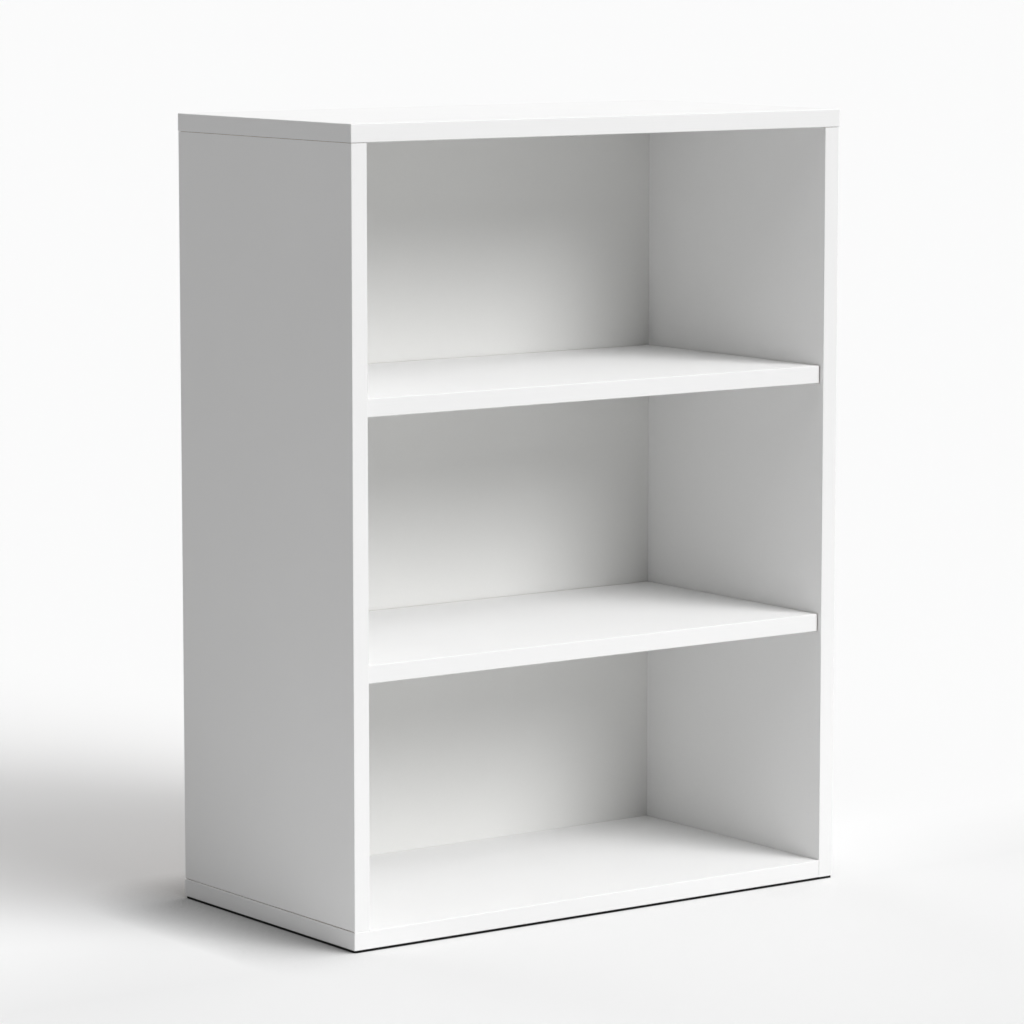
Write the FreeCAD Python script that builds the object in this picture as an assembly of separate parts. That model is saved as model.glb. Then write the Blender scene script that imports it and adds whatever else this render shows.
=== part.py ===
"""Open bookcase of white melamine-faced board with three bays.

The carcass is two sides, a top and a bottom, joined by blind glued dowels, with a thin back in grooves.
The top lies over both sides. The bottom runs under the left side and butts against the right side, which
reaches down to the base, and both boards stand out a hair past the sides. Two loose shelves lie on
supports that plug into the sides, and can be drawn out of the front. Every edge that shows carries a glued
edge band, and thin black strips under the base stand on the floor.

Frame: millimetres, +Z up, front towards -Y, +X to the right seen from the front.
Origin: on the floor, at the centre of the footprint.
"""

import FreeCAD
import Part
import os

# Width and depth over the sides, and height over all
WIDTH = 600.0
DEPTH = 310.0
HEIGHT = 800.0

# How far the top and the bottom stand out past the sides, and the fine gaps at the carcass joints: at most of
# them, under the left side, and under the band on its front edge
TOP_OVERHANG = 0.5
BOTTOM_OVERHANG = 0.5
JOINT_GAP = 0.3
FOOT_GAP = 0.6
FOOT_BAND_GAP = 0.1

# Board thicknesses
SIDE_BOARD = 18.0
TOP_BOARD = 18.0
BOTTOM_BOARD = 18.0
SHELF_BOARD = 18.0
BACK_BOARD = 3.0

# Clear heights of the two lower bays; the upper bay takes what is left
LOWER_BAY = 241.0
MIDDLE_BAY = 240.0

# Edge bands, with the rounding of their trimmed edges and the most of a band's thickness that it may take
EDGE_BAND = 1.0
BAND_ROUND = 0.8
BAND_ROUND_SHARE = 0.9

# Back panel: how far it lies in from the rear, and its grooves
BACK_RECESS = 13.0
GROOVE_DEPTH = 8.0
GROOVE_SIDE_CLEARANCE = 0.15
GROOVE_END_CLEARANCE = 0.8

# Loose shelves: gaps to the front of the carcass, the sides and the back
SHELF_SETBACK = 5.0
SHELF_END_GAP = 1.0
SHELF_REAR_GAP = 1.0

# Shelf supports: a pin with a collar, and a flat tongue on a stem
PIN_DIAMETER = 5.0
PIN_LENGTH = 9.0
PIN_CLEARANCE = 0.05
PIN_HOLE_SPACE = 1.0
PIN_CHAMFER = 0.6
COLLAR_RIM = 0.5
COLLAR_LENGTH = 1.5
COLLAR_DROP = 0.3
STEM_LENGTH = 10.0
TONGUE_WIDTH = 9.0
TONGUE_THICKNESS = 2.0
TONGUE_LIP = 4.0
SUPPORT_FRONT_INSET = 70.0
SUPPORT_REAR_INSET = 64.0

# Dowels, and where the rows of them start and end
DOWEL_DIAMETER = 8.0
DOWEL_LENGTH = 35.0
DOWEL_IN_FACE = 12.0
DOWEL_CLEARANCE = 0.05
DOWEL_END_SPACE = 1.0
DOWEL_CHAMFER = 1.0
DOWEL_COUNT = 3
DOWEL_FRONT_INSET = 40.0
DOWEL_REAR_INSET = 40.0

# Base strips under the bottom
STRIP_THICKNESS = 2.5
STRIP_WIDTH = 20.0
STRIP_INSET = 0.5
STRIP_CORNER = 2.0

# Planes of the sides
LEFT = -WIDTH / 2
RIGHT = WIDTH / 2
FRONT = -DEPTH / 2
REAR = DEPTH / 2
INNER_LEFT = LEFT + SIDE_BOARD
INNER_RIGHT = RIGHT - SIDE_BOARD
SIDE_CORE_FRONT = FRONT + EDGE_BAND

# Planes of the top, over its bands and at its core
TOP_LEFT = LEFT - TOP_OVERHANG
TOP_RIGHT = RIGHT + TOP_OVERHANG
TOP_FRONT = FRONT - TOP_OVERHANG
TOP_REAR = REAR + TOP_OVERHANG
TOP_CORE_LEFT = TOP_LEFT + EDGE_BAND
TOP_CORE_RIGHT = TOP_RIGHT - EDGE_BAND
TOP_CORE_FRONT = TOP_FRONT + EDGE_BAND

# Planes of the bottom, over its bands and at its core
BOTTOM_LEFT = LEFT - BOTTOM_OVERHANG
BOTTOM_RIGHT = INNER_RIGHT - JOINT_GAP
BOTTOM_FRONT = FRONT - BOTTOM_OVERHANG
BOTTOM_REAR = REAR + BOTTOM_OVERHANG
BOTTOM_CORE_LEFT = BOTTOM_LEFT + EDGE_BAND
BOTTOM_CORE_FRONT = BOTTOM_FRONT + EDGE_BAND

# Planes of the back
BACK_REAR = REAR - BACK_RECESS
BACK_FRONT = BACK_REAR - BACK_BOARD

# Levels, from the floor up
BOTTOM_UNDER = STRIP_THICKNESS
BOTTOM_UPPER = BOTTOM_UNDER + BOTTOM_BOARD
LOWER_SHELF_UNDER = BOTTOM_UPPER + LOWER_BAY
UPPER_SHELF_UNDER = LOWER_SHELF_UNDER + SHELF_BOARD + MIDDLE_BAY
TOP_UNDER = HEIGHT - TOP_BOARD
TOP_LEVELS = (TOP_UNDER, HEIGHT)
BOTTOM_LEVELS = (BOTTOM_UNDER, BOTTOM_UPPER)
LEFT_SIDE_LEVELS = (BOTTOM_UPPER + FOOT_GAP, TOP_UNDER - JOINT_GAP)
LEFT_BAND_LEVELS = (BOTTOM_UPPER + FOOT_BAND_GAP, TOP_UNDER - JOINT_GAP)
RIGHT_SIDE_LEVELS = (BOTTOM_UNDER, TOP_UNDER - JOINT_GAP)

TO_RIGHT = FreeCAD.Vector(1, 0, 0)
UPWARD = FreeCAD.Vector(0, 0, 1)
SAME_PLACE = 1e-6


def block(xs, ys, zs):
    """A box between two planes on each axis, given in either order."""
    low = FreeCAD.Vector(min(xs), min(ys), min(zs))
    return Part.makeBox(abs(xs[1] - xs[0]), abs(ys[1] - ys[0]), abs(zs[1] - zs[0]), low)


def rod(start, direction, length, radius):
    """A round bar from a point along a unit direction."""
    return Part.makeCylinder(radius, length, start, direction)


def chamfered_rod(start, direction, length, radius, chamfer):
    """A round bar with both of its ends chamfered."""
    bar = rod(start, direction, length, radius)
    end_edges = [edge for edge in bar.Edges if isinstance(edge.Curve, Part.Circle)]
    return bar.makeChamfer(chamfer, end_edges)


def lies_in(edge, axis, place):
    """True if an edge lies in the plane at that place on an axis."""
    return all(abs(getattr(vertex, axis.upper()) - place) < SAME_PLACE for vertex in edge.Vertexes)


def edge_band(xs, ys, zs, seats):
    """A strip of edge band with its free edges rounded.

    Seats are the (axis, place) planes where it meets a board or another strip, and edges there stay square.
    """
    strip = block(xs, ys, zs)
    free = [edge for edge in strip.Edges if not any(lies_in(edge, axis, place) for axis, place in seats)]
    return strip.makeFillet(min(BAND_ROUND, BAND_ROUND_SHARE * EDGE_BAND), free)


def spaced(first, last, count):
    """Evenly spaced places from first to last."""
    return [first + (last - first) * i / (count - 1) for i in range(count)]


# Dowel joints: each point lies where two boards meet, and the direction goes into the face of one of them


def dowel_points(x, z):
    """The points of one joint's dowels, in a row from front to back."""
    ys = spaced(FRONT + DOWEL_FRONT_INSET, BACK_FRONT - DOWEL_REAR_INSET, DOWEL_COUNT)
    return [FreeCAD.Vector(x, y, z) for y in ys]


def dowel(point, into_face):
    """A beech dowel with chamfered ends."""
    start = point - into_face * (DOWEL_LENGTH - DOWEL_IN_FACE)
    return chamfered_rod(start, into_face, DOWEL_LENGTH, DOWEL_DIAMETER / 2, DOWEL_CHAMFER)


def dowel_hole(point, into_face):
    """The bore for a dowel, through both boards, with room for glue at its ends."""
    start = point - into_face * (DOWEL_LENGTH - DOWEL_IN_FACE + DOWEL_END_SPACE)
    return rod(start, into_face, DOWEL_LENGTH + 2 * DOWEL_END_SPACE, DOWEL_DIAMETER / 2 + DOWEL_CLEARANCE)


LEFT_MIDDLE = (LEFT + INNER_LEFT) / 2
RIGHT_MIDDLE = (RIGHT + INNER_RIGHT) / 2
BOTTOM_MIDDLE = (BOTTOM_UNDER + BOTTOM_UPPER) / 2

JOINTS = {
    "top_left": (dowel_points(LEFT_MIDDLE, TOP_UNDER), UPWARD),
    "top_right": (dowel_points(RIGHT_MIDDLE, TOP_UNDER), UPWARD),
    "bottom_left": (dowel_points(LEFT_MIDDLE, BOTTOM_UPPER), -UPWARD),
    "bottom_right": (dowel_points(INNER_RIGHT, BOTTOM_MIDDLE), TO_RIGHT),
}


def dowel_group(joint):
    """The dowels of one joint."""
    points, into_face = JOINTS[joint]
    return Part.makeCompound([dowel(point, into_face) for point in points])


def dowel_holes(*joints):
    """The bores of all the dowels in the named joints."""
    return [dowel_hole(point, JOINTS[joint][1]) for joint in joints for point in JOINTS[joint][0]]


# Shelf supports

COLLAR_RADIUS = PIN_DIAMETER / 2 + COLLAR_RIM
SHELF_LEVELS = {"upper": UPPER_SHELF_UNDER, "lower": LOWER_SHELF_UNDER}
SUPPORT_PLACES = {"front": FRONT + SUPPORT_FRONT_INSET, "rear": BACK_FRONT - SUPPORT_REAR_INSET}
SUPPORT_SIDES = {"left": (INNER_LEFT, 1), "right": (INNER_RIGHT, -1)}


def support_axis_level(shelf_under):
    """The level of a support's pin, which keeps its collar just below the shelf's underside."""
    return shelf_under - COLLAR_DROP - COLLAR_RADIUS


def shelf_support(side, place, shelf):
    """One support: its pin is in the side panel, and the shelf lies on its tongue."""
    face, inward = SUPPORT_SIDES[side]
    y = SUPPORT_PLACES[place]
    under = SHELF_LEVELS[shelf]
    root = FreeCAD.Vector(face, y, support_axis_level(under))
    into_bay = TO_RIGHT * inward
    pin_end = root - into_bay * PIN_LENGTH
    pin = chamfered_rod(pin_end, into_bay, PIN_LENGTH + STEM_LENGTH, PIN_DIAMETER / 2, PIN_CHAMFER)
    collar = rod(root, into_bay, COLLAR_LENGTH, COLLAR_RADIUS)
    half_width = TONGUE_WIDTH / 2
    nose_centre = face + inward * (STEM_LENGTH + TONGUE_LIP - half_width)
    tongue_under = under - TONGUE_THICKNESS
    tongue = block((face, nose_centre), (y - half_width, y + half_width), (tongue_under, under))
    nose = rod(FreeCAD.Vector(nose_centre, y, tongue_under), UPWARD, TONGUE_THICKNESS, half_width)
    return pin.fuse([collar, tongue, nose]).removeSplitter()


def support_holes(side):
    """The blind holes for all the supports of one side panel."""
    face, inward = SUPPORT_SIDES[side]
    into_board = TO_RIGHT * -inward
    depth = PIN_LENGTH + PIN_HOLE_SPACE
    radius = PIN_DIAMETER / 2 + PIN_CLEARANCE
    levels = [support_axis_level(under) for under in SHELF_LEVELS.values()]
    mouths = [FreeCAD.Vector(face, y, level) for y in SUPPORT_PLACES.values() for level in levels]
    return [rod(mouth, into_board, depth, radius) for mouth in mouths]


# Back panel, and the pocket that its four grooves make


def back_block(end_clearance, side_clearance):
    """The back panel's box, held off the grooves' bottoms and walls by the clearances."""
    reach = GROOVE_DEPTH - end_clearance
    return block(
        (INNER_LEFT - reach, INNER_RIGHT + reach),
        (BACK_FRONT - side_clearance, BACK_REAR + side_clearance),
        (BOTTOM_UPPER - reach, TOP_UNDER + reach),
    )


def back_panel():
    """The thin back."""
    return back_block(GROOVE_END_CLEARANCE, 0.0)


def back_pocket():
    """The space of the four grooves together, which is cut from each board round the back."""
    return back_block(0.0, GROOVE_SIDE_CLEARANCE)


# Boards of the carcass


def left_side_panel():
    """The left side, which stands on the bottom."""
    board = block((LEFT, INNER_LEFT), (SIDE_CORE_FRONT, REAR), LEFT_SIDE_LEVELS)
    return board.cut([back_pocket(), *dowel_holes("top_left", "bottom_left"), *support_holes("left")])


def right_side_panel():
    """The right side, which reaches down to the base."""
    board = block((INNER_RIGHT, RIGHT), (SIDE_CORE_FRONT, REAR), RIGHT_SIDE_LEVELS)
    return board.cut([back_pocket(), *dowel_holes("top_right", "bottom_right"), *support_holes("right")])


def top_panel():
    """The top, which lies over both sides."""
    board = block((TOP_CORE_LEFT, TOP_CORE_RIGHT), (TOP_CORE_FRONT, TOP_REAR), TOP_LEVELS)
    return board.cut([back_pocket(), *dowel_holes("top_left", "top_right")])


def bottom_panel():
    """The bottom, which runs under the left side and butts against the right side."""
    board = block((BOTTOM_CORE_LEFT, BOTTOM_RIGHT), (BOTTOM_CORE_FRONT, BOTTOM_REAR), BOTTOM_LEVELS)
    return board.cut([back_pocket(), *dowel_holes("bottom_left", "bottom_right")])


def top_bands():
    """The edge bands of the top, by name."""
    front = (TOP_FRONT, TOP_CORE_FRONT)
    behind = (TOP_CORE_FRONT, TOP_REAR)
    left = (TOP_LEFT, TOP_CORE_LEFT)
    right = (TOP_CORE_RIGHT, TOP_RIGHT)
    on_front = ("y", TOP_CORE_FRONT)
    on_left = ("x", TOP_CORE_LEFT)
    on_right = ("x", TOP_CORE_RIGHT)
    return {
        "top_front_edge_band": edge_band((TOP_LEFT, TOP_RIGHT), front, TOP_LEVELS, [on_front]),
        "top_left_edge_band": edge_band(left, behind, TOP_LEVELS, [on_front, on_left]),
        "top_right_edge_band": edge_band(right, behind, TOP_LEVELS, [on_front, on_right]),
    }


def bottom_bands():
    """The edge bands of the bottom, by name."""
    front = (BOTTOM_FRONT, BOTTOM_CORE_FRONT)
    behind = (BOTTOM_CORE_FRONT, BOTTOM_REAR)
    left = (BOTTOM_LEFT, BOTTOM_CORE_LEFT)
    on_front = ("y", BOTTOM_CORE_FRONT)
    on_left = ("x", BOTTOM_CORE_LEFT)
    return {
        "bottom_front_edge_band": edge_band((BOTTOM_LEFT, BOTTOM_RIGHT), front, BOTTOM_LEVELS, [on_front]),
        "bottom_left_edge_band": edge_band(left, behind, BOTTOM_LEVELS, [on_front, on_left]),
    }


def side_front_band(xs, levels):
    """The band on the front edge of a side, cut square at its ends."""
    seats = [("y", SIDE_CORE_FRONT), *(("z", level) for level in levels)]
    return edge_band(xs, (FRONT, SIDE_CORE_FRONT), levels, seats)


# Loose shelves

SHELF_FRONT = FRONT + SHELF_SETBACK
SHELF_CORE_FRONT = SHELF_FRONT + EDGE_BAND
SHELF_ENDS = (INNER_LEFT + SHELF_END_GAP, INNER_RIGHT - SHELF_END_GAP)


def shelf_pieces(shelf):
    """One shelf board and the band on its front edge."""
    under = SHELF_LEVELS[shelf]
    levels = (under, under + SHELF_BOARD)
    return {
        f"{shelf}_shelf": block(SHELF_ENDS, (SHELF_CORE_FRONT, BACK_FRONT - SHELF_REAR_GAP), levels),
        f"{shelf}_shelf_front_edge_band": edge_band(
            SHELF_ENDS, (SHELF_FRONT, SHELF_CORE_FRONT), levels, [("y", SHELF_CORE_FRONT)]
        ),
    }


# Base strips

STRIP_LEFT = LEFT + STRIP_INSET
STRIP_RIGHT = RIGHT - STRIP_INSET
STRIP_FRONT = FRONT + STRIP_INSET
STRIP_REAR = REAR - STRIP_INSET


def cross_strip(outer, inward):
    """The front or rear strip, with its two outer corners rounded."""
    strip = block((STRIP_LEFT, STRIP_RIGHT), (outer, outer + inward * STRIP_WIDTH), (0.0, STRIP_THICKNESS))
    outer_edges = [edge for edge in strip.Edges if lies_in(edge, "y", outer)]
    corners = [edge for x in (STRIP_LEFT, STRIP_RIGHT) for edge in outer_edges if lies_in(edge, "x", x)]
    return strip.makeFillet(STRIP_CORNER, corners)


def side_strip(outer, inward):
    """The left or right strip, between the front and rear ones."""
    return block(
        (outer, outer + inward * STRIP_WIDTH),
        (STRIP_FRONT + STRIP_WIDTH, STRIP_REAR - STRIP_WIDTH),
        (0.0, STRIP_THICKNESS),
    )


def all_parts():
    """Every node of the bookcase, by name."""
    parts = {
        "left_side_panel": left_side_panel(),
        "right_side_panel": right_side_panel(),
        "top_panel": top_panel(),
        "bottom_panel": bottom_panel(),
        "back_panel": back_panel(),
        "left_side_front_edge_band": side_front_band((LEFT, INNER_LEFT), LEFT_BAND_LEVELS),
        "right_side_front_edge_band": side_front_band((INNER_RIGHT, RIGHT), RIGHT_SIDE_LEVELS),
        "front_base_strip": cross_strip(STRIP_FRONT, 1),
        "rear_base_strip": cross_strip(STRIP_REAR, -1),
        "left_base_strip": side_strip(STRIP_LEFT, 1),
        "right_base_strip": side_strip(STRIP_RIGHT, -1),
    }
    parts.update(top_bands())
    parts.update(bottom_bands())
    for joint in JOINTS:
        parts[f"{joint}_dowels"] = dowel_group(joint)
    for shelf in SHELF_LEVELS:
        parts.update(shelf_pieces(shelf))
        for side in SUPPORT_SIDES:
            for place in SUPPORT_PLACES:
                parts[f"{shelf}_shelf_support_{place}_{side}"] = shelf_support(side, place, shelf)
    return parts


def main():
    """Write one file for each node."""
    os.makedirs("parts", exist_ok=True)
    for name, shape in all_parts().items():
        shape.exportStep(f"parts/{name}.step")
        print(f"{name}: {len(shape.Solids)} solid(s), valid {shape.isValid()}, {shape.Volume:.0f} mm3")


main()
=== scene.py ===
"""Looks of the open white bookcase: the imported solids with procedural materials, on a white studio floor."""

import math

import bpy
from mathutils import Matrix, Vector


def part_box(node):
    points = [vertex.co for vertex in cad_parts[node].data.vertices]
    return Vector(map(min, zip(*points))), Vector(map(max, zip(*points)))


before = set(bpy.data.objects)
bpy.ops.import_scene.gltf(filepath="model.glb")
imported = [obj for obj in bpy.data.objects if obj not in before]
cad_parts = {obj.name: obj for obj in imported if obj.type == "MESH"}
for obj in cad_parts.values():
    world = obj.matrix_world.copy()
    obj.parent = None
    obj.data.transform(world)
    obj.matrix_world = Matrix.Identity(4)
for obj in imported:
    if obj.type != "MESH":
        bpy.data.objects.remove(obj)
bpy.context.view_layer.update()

AXES = {"X": 0, "Y": 1, "Z": 2}
WHITE = (1.0, 1.0, 1.0, 1.0)

# Camera, in metres and degrees: where it stands, and how far it turns right and looks down
CAMERA_PLACE = Vector((-2.6595, -3.6778, 0.9824))
CAMERA_TURN = 35.867
CAMERA_DIP = 7.418
CAMERA_LENS = 157.413
CAMERA_SENSOR = 36.0
CAMERA_REACH = 1000.0

# Floor, a sheet so large that it fills the picture: how far its three corners are and which way, its whites from the
# front to the rear with where each is reached, and its own light where it is seen straight
FLOOR_REACH = 600.0
FLOOR_CORNERS = (90.0, 210.0, 330.0)
# The whites are darker in front and darkest along the object's front edge: painted shade
FLOOR_PAINTED_SHADE_WHITES = ((0.664, 0.664, 0.664), (0.630, 0.630, 0.630), (0.728, 0.728, 0.728))
FLOOR_ROWS = (-0.60, -0.17, 0.05)
FLOOR_LIGHT = 0.24
FLOOR_ROUGH = 0.9

# Painted contact shade on the floor round the base: its tone, how far it reaches, the way that it looks for the object,
# and how full it gets
CONTACT_TONE = (0.050, 0.050, 0.050, 1.0)
CONTACT_REACH = 0.115
CONTACT_TOWARDS = (0.60, -0.65, 0.47)
CONTACT_SHARE = 1.12
CONTACT_SAMPLES = 8

# The floor's colour for the light that it throws back: its tones far off and at the most, and pools of painted light
# to the left and in front of the object, by their centre and their share, with how far each is full and reaches
BOUNCE_TONES = ((0.470, 0.470, 0.470), (1.000, 1.000, 1.000))
PAINTED_LIGHT_POOLS = (((-0.64, -0.16, 0.0), 0.88), ((0.04, -0.54, 0.0), 0.56), ((0.35, -0.55, 0.0), 0.54))
BOUNCE_FADE = (0.15, 0.55)

# Studio light: an even dome that is white to look at, and wide lamps given by where they stand (degrees to the right
# of the front, and up), their strength and how wide they look
DOME = 0.049
DOME_SEEN = 1.0
LAMPS = {
    "key_low": (18.0, 33.0, 2.100, 32.0),
    "key_high": (30.0, 42.0, 0.935, 30.0),
    "right": (65.0, 54.0, 0.554, 45.0),
    "rear_right": (120.0, 25.0, 0.450, 40.0),
    "rear": (180.0, 15.0, 0.800, 30.0),
    "top": (0.0, 88.0, 0.060, 50.0),
    "left": (-90.0, 15.0, 0.320, 40.0),
    "left_high": (-60.0, 50.0, 0.293, 40.0),
}

# Materials. A noise is given by its scale for a metre, its detail and its roughness, and a grain by its scales along
# its run and across it. A share is that of the second of two noises, and a depth is in metres. A noise seldom leaves
# the span, so that is the part of it that is used.
NOISE_SPAN = (0.3, 0.7)
FACING = 0.7

# Melamine faces, and the paint on the back
SIDE_WHITES = ((0.862, 0.862, 0.859), (0.878, 0.878, 0.875))
# The level boards' whites are lighter than the upright boards': painted light on the faces that look up
LEVEL_PAINTED_LIGHT_WHITES = ((0.877, 0.877, 0.875), (0.893, 0.893, 0.891))
BACK_WHITES = ((0.842, 0.842, 0.828), (0.858, 0.858, 0.844))
FACE_CLOUD = (7.0, 3.0, 0.55)
FACE_SPECK = (420.0, 2.0, 0.6)
FACE_SPECK_SHARE = 0.35
FACE_WEAR = (16.0, 4.0, 0.6)
FACE_ROUGH = (0.54, 0.62)
FACE_PEARL = (1300.0, 1.0, 0.4)
FACE_PEARL_DEPTH = 0.00002
FACE_GLOSS = 0.1

# Raw chipboard
CHIP_TONES = ((0.21, 0.13, 0.07), (0.45, 0.31, 0.18), (0.58, 0.43, 0.27), (0.66, 0.52, 0.35))
CHIP_STOPS = (0.12, 0.36, 0.6, 0.9)
CHIP_FLAKES = (620.0, 170.0)
CHIP_FLAKE_DEPTH = 0.0003
CHIP_FIBRES = (2600.0, 500.0)
CHIP_FIBRE = (1.0, 3.0, 0.6)
CHIP_FIBRE_SHARE = 0.4
CHIP_ROUGH = 0.9

# Edge bands, in a darker white than the faces: painted shade on the front edges
BAND_PAINTED_SHADE_WHITES = ((0.770, 0.770, 0.769), (0.786, 0.786, 0.785))
BAND_STREAKS = (5.0, 900.0)
BAND_STREAK = (1.0, 2.0, 0.5)
BAND_STREAK_DEPTH = 0.000008
BAND_CLOUD = (9.0, 3.0, 0.5)
BAND_CLOUD_SHARE = 0.5
BAND_MARKS = (700.0, 60.0)
BAND_MARK = (1.0, 1.0, 0.5)
BAND_MARK_DEPTH = 0.000006
BAND_ROUGH = (0.34, 0.42)
BAND_GLOSS = 0.4

# Raw hardboard
FIBRE_TONES = ((0.15, 0.085, 0.045), (0.245, 0.148, 0.082), (0.31, 0.195, 0.115))
FIBRE_MATTED = (260.0, 5.0, 0.65)
FIBRE_MATTED_DEPTH = 0.00012
FIBRE_FLECK = (1500.0, 2.0, 0.6)
FIBRE_FLECK_SHARE = 0.5
FIBRE_FLECK_DEPTH = 0.00003
FIBRE_CLOUD = (4.0, 3.0, 0.5)
FIBRE_CLOUD_SHARE = 0.12
FIBRE_ROUGH = 0.82

# Beech dowels
BEECH_TONES = ((0.52, 0.33, 0.18), (0.66, 0.46, 0.28), (0.72, 0.53, 0.34))
BEECH_GRAIN = (60.0, 900.0)
BEECH_NOISE = (1.0, 4.0, 0.6)
BEECH_SPAN = (0.25, 0.75)
BEECH_DEPTH = 0.00008
BEECH_ROUGH = 0.75

# Nickel-plated supports
NICKEL_TONES = ((0.60, 0.59, 0.56), (0.68, 0.67, 0.64))
NICKEL_RUN = "X"
NICKEL_LINES = (120.0, 4000.0)
NICKEL_LINE = (1.0, 3.0, 0.6)
NICKEL_LINE_DEPTH = 0.000006
NICKEL_TARNISH = (300.0, 3.0, 0.6)
NICKEL_TARNISH_SHARE = 0.5
NICKEL_ROUGH = (0.22, 0.38)

# Black base strips, whose black is painted shade: it stands for the shadow line under the base
BLACK_PAINTED_SHADE_TONES = ((0.008, 0.008, 0.008), (0.014, 0.014, 0.014))
BLACK_GRAIN = (2200.0, 2.0, 0.5)
BLACK_GRAIN_DEPTH = 0.00004
BLACK_CLOUD = (40.0, 3.0, 0.5)
BLACK_CLOUD_SHARE = 0.5
BLACK_ROUGH = (0.82, 0.92)
BLACK_GLOSS = 0.1


class Graph:
    """A material's nodes, with short ways to add and join them."""

    def __init__(self, name):
        self.material = bpy.data.materials.new(name)
        self.material.use_nodes = True
        self.tree = self.material.node_tree
        self.shader = self.tree.nodes["Principled BSDF"]
        coordinates = self.add("ShaderNodeTexCoord")
        self.place = coordinates.outputs["Object"]
        self.normal = coordinates.outputs["Normal"]

    def put(self, socket, value):
        """Joins an output to a socket, or sets the socket's own value."""
        if isinstance(value, bpy.types.NodeSocket):
            self.tree.links.new(value, socket)
        else:
            socket.default_value = value

    def add(self, kind, settings=None, inputs=None):
        """A new node. Settings are its properties, and inputs are its sockets by name or number."""
        node = self.tree.nodes.new(kind)
        for name, value in (settings or {}).items():
            setattr(node, name, value)
        for name, value in (inputs or {}).items():
            self.put(node.inputs[name], value)
        return node

    def shade(self, **inputs):
        """Sets the shader's sockets."""
        for name, value in inputs.items():
            self.put(self.shader.inputs[name.replace("_", " ")], value)

    def noise(self, scale, detail, roughness, vector=None):
        """A noise between 0 and 1."""
        inputs = {"Vector": vector or self.place, "Scale": scale, "Detail": detail, "Roughness": roughness}
        return self.add("ShaderNodeTexNoise", None, inputs).outputs["Fac"]

    def grained(self, run, along, across):
        """The place on the object, scaled along the axis that a grain runs along and across it."""
        scale = tuple(along if axis == run else across for axis in AXES)
        return self.add("ShaderNodeMapping", None, {"Vector": self.place, "Scale": scale}).outputs["Vector"]

    def ranged(self, value, low, high, to_low=0.0, to_high=1.0):
        """A value carried from one range to another and held inside it."""
        inputs = {"Value": value, "From Min": low, "From Max": high, "To Min": to_low, "To Max": to_high}
        return self.add("ShaderNodeMapRange", {"clamp": True}, inputs).outputs["Result"]

    def ramp(self, value, tones, stops=None):
        """A colour that goes through the tones in turn."""
        node = self.add("ShaderNodeValToRGB", None, {"Fac": value})
        points = node.color_ramp.elements
        stops = stops or [i / (len(tones) - 1) for i in range(len(tones))]
        while len(points) < len(tones):
            points.new(1.0)
        for point, stop, tone in zip(points, stops, tones):
            point.position = stop
            point.color = (*tone, 1.0)
        return node.outputs["Color"]

    def mix(self, share, first, second, data="FLOAT", kind="VALUE"):
        """Two numbers, or two values of another kind, by the share of the second one."""
        node = self.add("ShaderNodeMix", {"data_type": data}, {"Factor": share})
        sides = [socket for socket in node.inputs if socket.type == kind and socket.name in ("A", "B")]
        for side, value in zip(sides, (first, second)):
            self.put(side, value)
        return next(socket for socket in node.outputs if socket.type == kind)

    def mix_colours(self, share, first, second):
        return self.mix(share, first, second, "RGBA", "RGBA")

    def mix_reliefs(self, share, first, second):
        return self.mix(share, first, second, "VECTOR", "VECTOR")

    def math(self, operation, first, second=0.0):
        """One sum."""
        return self.add("ShaderNodeMath", {"operation": operation}, {0: first, 1: second}).outputs["Value"]

    def split(self, vector, axis):
        """One axis of a vector."""
        return self.add("ShaderNodeSeparateXYZ", None, {"Vector": vector}).outputs[axis]

    def bump(self, height, distance, under=None):
        """A surface relief of that depth in metres, on another one if there is one."""
        inputs = {"Height": height, "Distance": distance, "Strength": 1.0}
        if under:
            inputs["Normal"] = under
        return self.add("ShaderNodeBump", None, inputs).outputs["Normal"]

    def pool(self, centre, most, full, reach):
        """A share that is at its most round a centre, and fades to 0 at its reach."""
        span = self.add("ShaderNodeVectorMath", {"operation": "DISTANCE"}, {0: self.place, 1: centre}).outputs["Value"]
        inputs = {"Value": span, "From Min": full, "From Max": reach, "To Min": most, "To Max": 0.0}
        settings = {"clamp": True, "interpolation_type": "SMOOTHSTEP"}
        return self.add("ShaderNodeMapRange", settings, inputs).outputs["Result"]


def melamine(graph, whites):
    """Colour, roughness and relief of a white melamine face: faint clouding and a fine pearl."""
    tone = graph.mix(FACE_SPECK_SHARE, graph.noise(*FACE_CLOUD), graph.noise(*FACE_SPECK))
    colour = graph.ramp(graph.ranged(tone, *NOISE_SPAN), whites)
    rough = graph.ranged(graph.noise(*FACE_WEAR), *NOISE_SPAN, *FACE_ROUGH)
    pearl = graph.bump(graph.noise(*FACE_PEARL), FACE_PEARL_DEPTH)
    graph.shade(Specular_IOR_Level=FACE_GLOSS)
    return colour, rough, pearl


def chipboard(graph, across):
    """Colour and relief of raw chipboard: flat flakes that lie in the board's plane, with fibres in them."""
    place = graph.grained(across, *CHIP_FLAKES)
    flakes = graph.add("ShaderNodeTexVoronoi", None, {"Vector": place, "Scale": 1.0, "Randomness": 1.0})
    flake = graph.add("ShaderNodeSeparateColor", None, {"Color": flakes.outputs["Color"]}).outputs["Red"]
    fibre = graph.noise(*CHIP_FIBRE, graph.grained(across, *CHIP_FIBRES))
    colour = graph.ramp(graph.mix(CHIP_FIBRE_SHARE, flake, fibre), CHIP_TONES, CHIP_STOPS)
    relief = graph.bump(flakes.outputs["Distance"], CHIP_FLAKE_DEPTH)
    return colour, relief


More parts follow.
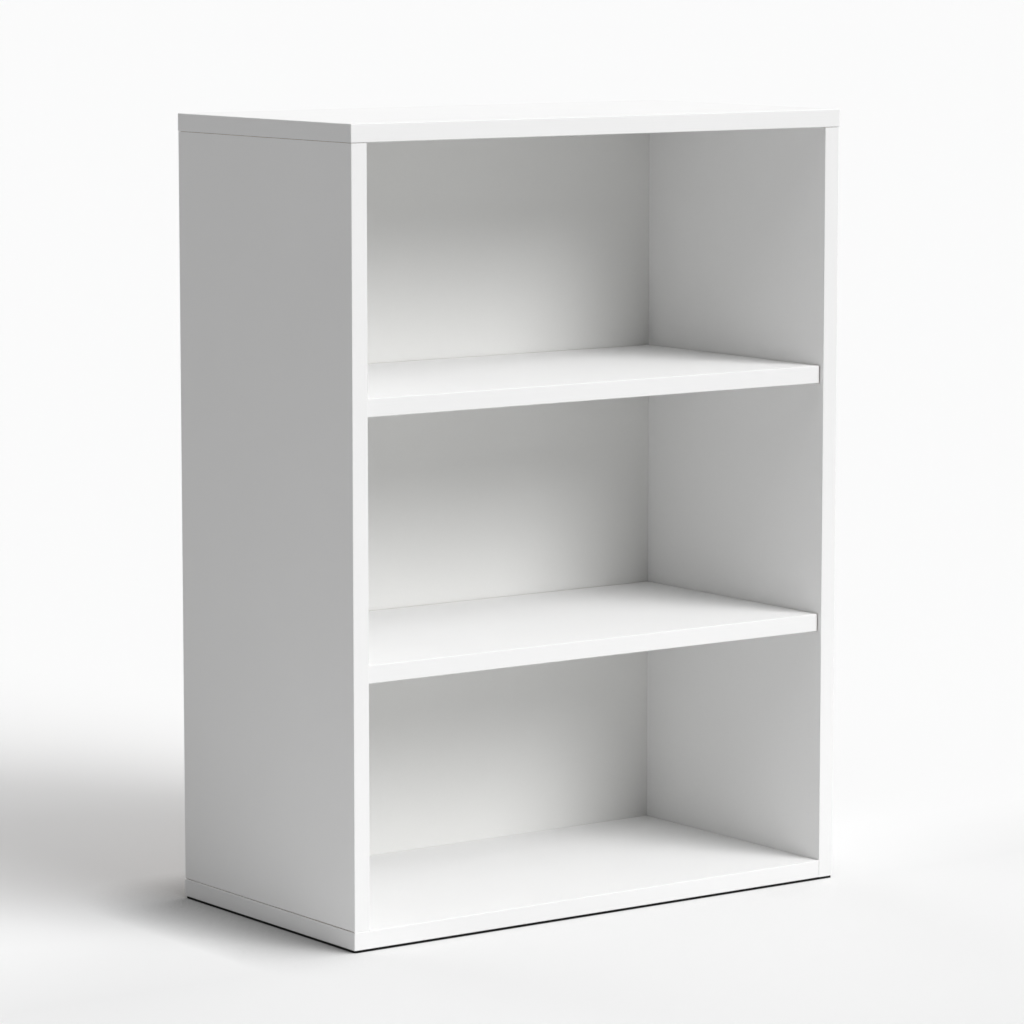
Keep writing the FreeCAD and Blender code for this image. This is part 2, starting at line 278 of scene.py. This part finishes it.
def board_material(name, across, whites):
    """Chipboard with white melamine on the two faces that look along an axis, raw on all its other faces."""
    graph = Graph(name)
    face_colour, face_rough, face_relief = melamine(graph, whites)
    core_colour, core_relief = chipboard(graph, across)
    bare = graph.math("LESS_THAN", graph.math("ABSOLUTE", graph.split(graph.normal, across)), FACING)
    graph.shade(
        Base_Color=graph.mix_colours(bare, face_colour, core_colour),
        Roughness=graph.mix(bare, face_rough, CHIP_ROUGH),
        Normal=graph.mix_reliefs(bare, face_relief, core_relief),
    )
    return graph.material


def band_material(name, run):
    """White plastic edge band, darkened as painted shade, with faint streaks along its run and fine scraper marks
    across it.
    """
    graph = Graph(name)
    streak = graph.noise(*BAND_STREAK, graph.grained(run, *BAND_STREAKS))
    tone = graph.mix(BAND_CLOUD_SHARE, streak, graph.noise(*BAND_CLOUD))
    marks = graph.noise(*BAND_MARK, graph.grained(run, *BAND_MARKS))
    graph.shade(
        Base_Color=graph.ramp(graph.ranged(tone, *NOISE_SPAN), BAND_PAINTED_SHADE_WHITES),
        Roughness=graph.ranged(streak, *NOISE_SPAN, *BAND_ROUGH),
        Specular_IOR_Level=BAND_GLOSS,
        Normal=graph.bump(marks, BAND_MARK_DEPTH, graph.bump(streak, BAND_STREAK_DEPTH)),
    )
    return graph.material


def back_material(name):
    """Hardboard: painted white on the face towards the front, raw brown fibre behind and at its edges."""
    graph = Graph(name)
    paint, paint_rough, paint_relief = melamine(graph, BACK_WHITES)
    matted = graph.noise(*FIBRE_MATTED)
    fleck = graph.noise(*FIBRE_FLECK)
    tone = graph.mix(FIBRE_CLOUD_SHARE, graph.mix(FIBRE_FLECK_SHARE, matted, fleck), graph.noise(*FIBRE_CLOUD))
    fibre = graph.ramp(graph.ranged(tone, *NOISE_SPAN), FIBRE_TONES)
    fibre_relief = graph.bump(matted, FIBRE_MATTED_DEPTH, graph.bump(fleck, FIBRE_FLECK_DEPTH))
    raw = graph.math("GREATER_THAN", graph.split(graph.normal, "Y"), -FACING)
    graph.shade(
        Base_Color=graph.mix_colours(raw, paint, fibre),
        Roughness=graph.mix(raw, paint_rough, FIBRE_ROUGH),
        Normal=graph.mix_reliefs(raw, paint_relief, fibre_relief),
    )
    return graph.material


def beech_material(name, run):
    """Raw beech with a fine grain along its run."""
    graph = Graph(name)
    grain = graph.noise(*BEECH_NOISE, graph.grained(run, *BEECH_GRAIN))
    colour = graph.ramp(graph.ranged(grain, *BEECH_SPAN), BEECH_TONES)
    graph.shade(Base_Color=colour, Roughness=BEECH_ROUGH, Normal=graph.bump(grain, BEECH_DEPTH))
    return graph.material


def nickel_material(name):
    """Nickel-plated steel, with the fine lines of the drawn bar under the plating."""
    graph = Graph(name)
    lines = graph.noise(*NICKEL_LINE, graph.grained(NICKEL_RUN, *NICKEL_LINES))
    tarnish = graph.noise(*NICKEL_TARNISH)
    graph.shade(
        Base_Color=graph.ramp(graph.ranged(tarnish, *NOISE_SPAN), NICKEL_TONES),
        Metallic=1.0,
        Roughness=graph.ranged(graph.mix(NICKEL_TARNISH_SHARE, lines, tarnish), *NOISE_SPAN, *NICKEL_ROUGH),
        Normal=graph.bump(lines, NICKEL_LINE_DEPTH),
    )
    return graph.material


def shadow_strip_material(name):
    """Matt black plastic with a fine grain; its black is painted shade for the shadow line under the base."""
    graph = Graph(name)
    grain = graph.noise(*BLACK_GRAIN)
    cloud = graph.noise(*BLACK_CLOUD)
    graph.shade(
        Base_Color=graph.ramp(graph.ranged(graph.mix(BLACK_CLOUD_SHARE, grain, cloud), *NOISE_SPAN), BLACK_PAINTED_SHADE_TONES),
        Roughness=graph.ranged(cloud, *NOISE_SPAN, *BLACK_ROUGH),
        Specular_IOR_Level=BLACK_GLOSS,
        Normal=graph.bump(grain, BLACK_GRAIN_DEPTH),
    )
    return graph.material


def seen_directly(tree):
    """1 for what the camera sees straight, in a gloss or through something clear, and 0 for the light that bounces."""
    path = tree.nodes.new("ShaderNodeLightPath")
    total = path.outputs["Is Camera Ray"]
    for kind in ("Is Glossy Ray", "Is Transmission Ray"):
        either = tree.nodes.new("ShaderNodeMath")
        either.operation = "MAXIMUM"
        tree.links.new(total, either.inputs[0])
        tree.links.new(path.outputs[kind], either.inputs[1])
        total = either.outputs["Value"]
    return total


def floor_white_with_painted_shade(graph):
    """The floor's white, front to rear: darker in front and darkest at the object's front edge, as painted shade."""
    front, rear = FLOOR_ROWS[0], FLOOR_ROWS[-1]
    stops = [(row - front) / (rear - front) for row in FLOOR_ROWS]
    return graph.ramp(graph.ranged(graph.split(graph.place, "Y"), front, rear), FLOOR_PAINTED_SHADE_WHITES, stops)


def contact_share(graph):
    """The share of the painted contact shade, by how much of the object is near on the side that it looks towards."""
    towards = graph.add("ShaderNodeCombineXYZ", None, dict(zip(AXES, CONTACT_TOWARDS))).outputs["Vector"]
    inputs = {"Distance": CONTACT_REACH, "Normal": towards}
    near = graph.add("ShaderNodeAmbientOcclusion", {"samples": CONTACT_SAMPLES}, inputs)
    return graph.ranged(near.outputs["AO"], 0.0, 1.0, CONTACT_SHARE, 0.0)


def bounce_shader(graph):
    """What the floor throws back: its tone far off, with the pools of painted light added to it."""
    total = 0.0
    for centre, most in PAINTED_LIGHT_POOLS:
        total = graph.math("ADD", graph.pool(centre, most, *BOUNCE_FADE), total)
    return graph.add("ShaderNodeBsdfDiffuse", None, {"Color": graph.ramp(total, BOUNCE_TONES)}).outputs["BSDF"]


def floor_material(name):
    """Matt studio floor: white to look at, with painted shade where it meets the object, heaviest on the side away
    from the lamps, with painted pools of brighter bounce in the light that it throws back up, and clear from below."""
    graph = Graph(name)
    # Painted shade: near the object the floor's colour darkens and its own light fades
    share = contact_share(graph)
    graph.shade(
        Base_Color=graph.mix_colours(share, floor_white_with_painted_shade(graph), CONTACT_TONE),
        Roughness=FLOOR_ROUGH,
        Specular_IOR_Level=0.0,
        Emission_Color=WHITE,
        Emission_Strength=graph.ranged(share, 0.0, 1.0, FLOOR_LIGHT, 0.0),
    )
    graph.material.cycles.emission_sampling = "NONE"
    inputs = {0: seen_directly(graph.tree), 1: bounce_shader(graph), 2: graph.shader.outputs["BSDF"]}
    upper = graph.add("ShaderNodeMixShader", None, inputs).outputs["Shader"]
    below = graph.add("ShaderNodeNewGeometry").outputs["Backfacing"]
    clear = graph.add("ShaderNodeBsdfTransparent").outputs["BSDF"]
    sheet = graph.add("ShaderNodeMixShader", None, {0: below, 1: upper, 2: clear}).outputs["Shader"]
    graph.put(graph.tree.nodes["Material Output"].inputs["Surface"], sheet)
    return graph.material


def dress():
    """Gives every CAD node its material."""
    upright = board_material("white_board_upright", "X", SIDE_WHITES)
    # The level boards take the lighter whites, as painted light
    level = board_material("white_board_level_painted_light", "Z", LEVEL_PAINTED_LIGHT_WHITES)
    # The edge bands' darker white is painted shade
    bands = {axis: band_material(f"white_edge_band_painted_shade_{axis.lower()}", axis) for axis in AXES}
    beech = {axis: beech_material(f"beech_{axis.lower()}", axis) for axis in "XZ"}
    back = back_material("back_board")
    nickel = nickel_material("plated_steel")
    # The strips' black is painted shade for the shadow line under the base
    strip = shadow_strip_material("black_strip")
    for name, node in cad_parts.items():
        if name.endswith("edge_band"):
            low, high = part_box(name)
            spans = high - low
            material = bands[max(AXES, key=lambda axis: spans[AXES[axis]])]
        elif name.endswith("dowels"):
            material = beech["X" if name == "bottom_right_dowels" else "Z"]
        elif "support" in name:
            material = nickel
        elif name.endswith("base_strip"):
            material = strip
        elif name == "back_panel":
            material = back
        else:
            material = upright if "side" in name else level
        node.data.materials.clear()
        node.data.materials.append(material)


def add_object(name, data):
    """A new object in the scene."""
    made = bpy.data.objects.new(name, data)
    bpy.context.scene.collection.objects.link(made)
    return made


def point(thing, direction):
    """Turns a camera or lamp to look in a direction, upright."""
    thing.rotation_mode = "QUATERNION"
    thing.rotation_quaternion = direction.to_track_quat("-Z", "Y")


def make_floor():
    """One large triangle, so that no edge crosses the picture."""
    mesh = bpy.data.meshes.new("floor")
    turns = [math.radians(corner) for corner in FLOOR_CORNERS]
    corners = [(FLOOR_REACH * math.cos(turn), FLOOR_REACH * math.sin(turn), 0.0) for turn in turns]
    mesh.from_pydata(corners, [], [(0, 1, 2)])
    floor = add_object("floor", mesh)
    mesh.materials.append(floor_material("floor_white_with_painted_shade"))


def make_camera():
    """The photo's camera."""
    data = bpy.data.cameras.new("camera")
    data.lens = CAMERA_LENS
    data.sensor_width = CAMERA_SENSOR
    data.clip_end = CAMERA_REACH
    camera = add_object("camera", data)
    turn = math.radians(CAMERA_TURN)
    dip = math.radians(CAMERA_DIP)
    camera.location = CAMERA_PLACE
    point(camera, Vector((math.sin(turn) * math.cos(dip), math.cos(turn) * math.cos(dip), -math.sin(dip))))
    bpy.context.scene.camera = camera


def make_lamp(name, right, up, strength, width):
    """A far lamp that looks as wide as an angle, given by where it stands seen from the front."""
    sun = bpy.data.lights.new(name, "SUN")
    sun.energy = strength
    sun.angle = math.radians(width)
    turn = math.radians(right)
    rise = math.radians(up)
    shine = Vector((-math.sin(turn) * math.cos(rise), math.cos(turn) * math.cos(rise), -math.sin(rise)))
    point(add_object(name, sun), shine)


def make_lights():
    """The dome, which lights little but looks white, and the lamps."""
    world = bpy.data.worlds.new("studio")
    bpy.context.scene.world = world
    world.use_nodes = True
    tree = world.node_tree
    background = tree.nodes["Background"]
    background.inputs["Color"].default_value = WHITE
    level = tree.nodes.new("ShaderNodeMapRange")
    level.inputs["To Min"].default_value = DOME
    level.inputs["To Max"].default_value = DOME_SEEN
    tree.links.new(seen_directly(tree), level.inputs["Value"])
    tree.links.new(level.outputs["Result"], background.inputs["Strength"])
    for name, (right, up, strength, width) in LAMPS.items():
        make_lamp(name, right, up, strength, width)


dress()
make_floor()
make_camera()
make_lights()
bpy.context.scene.view_settings.view_transform = "Standard"
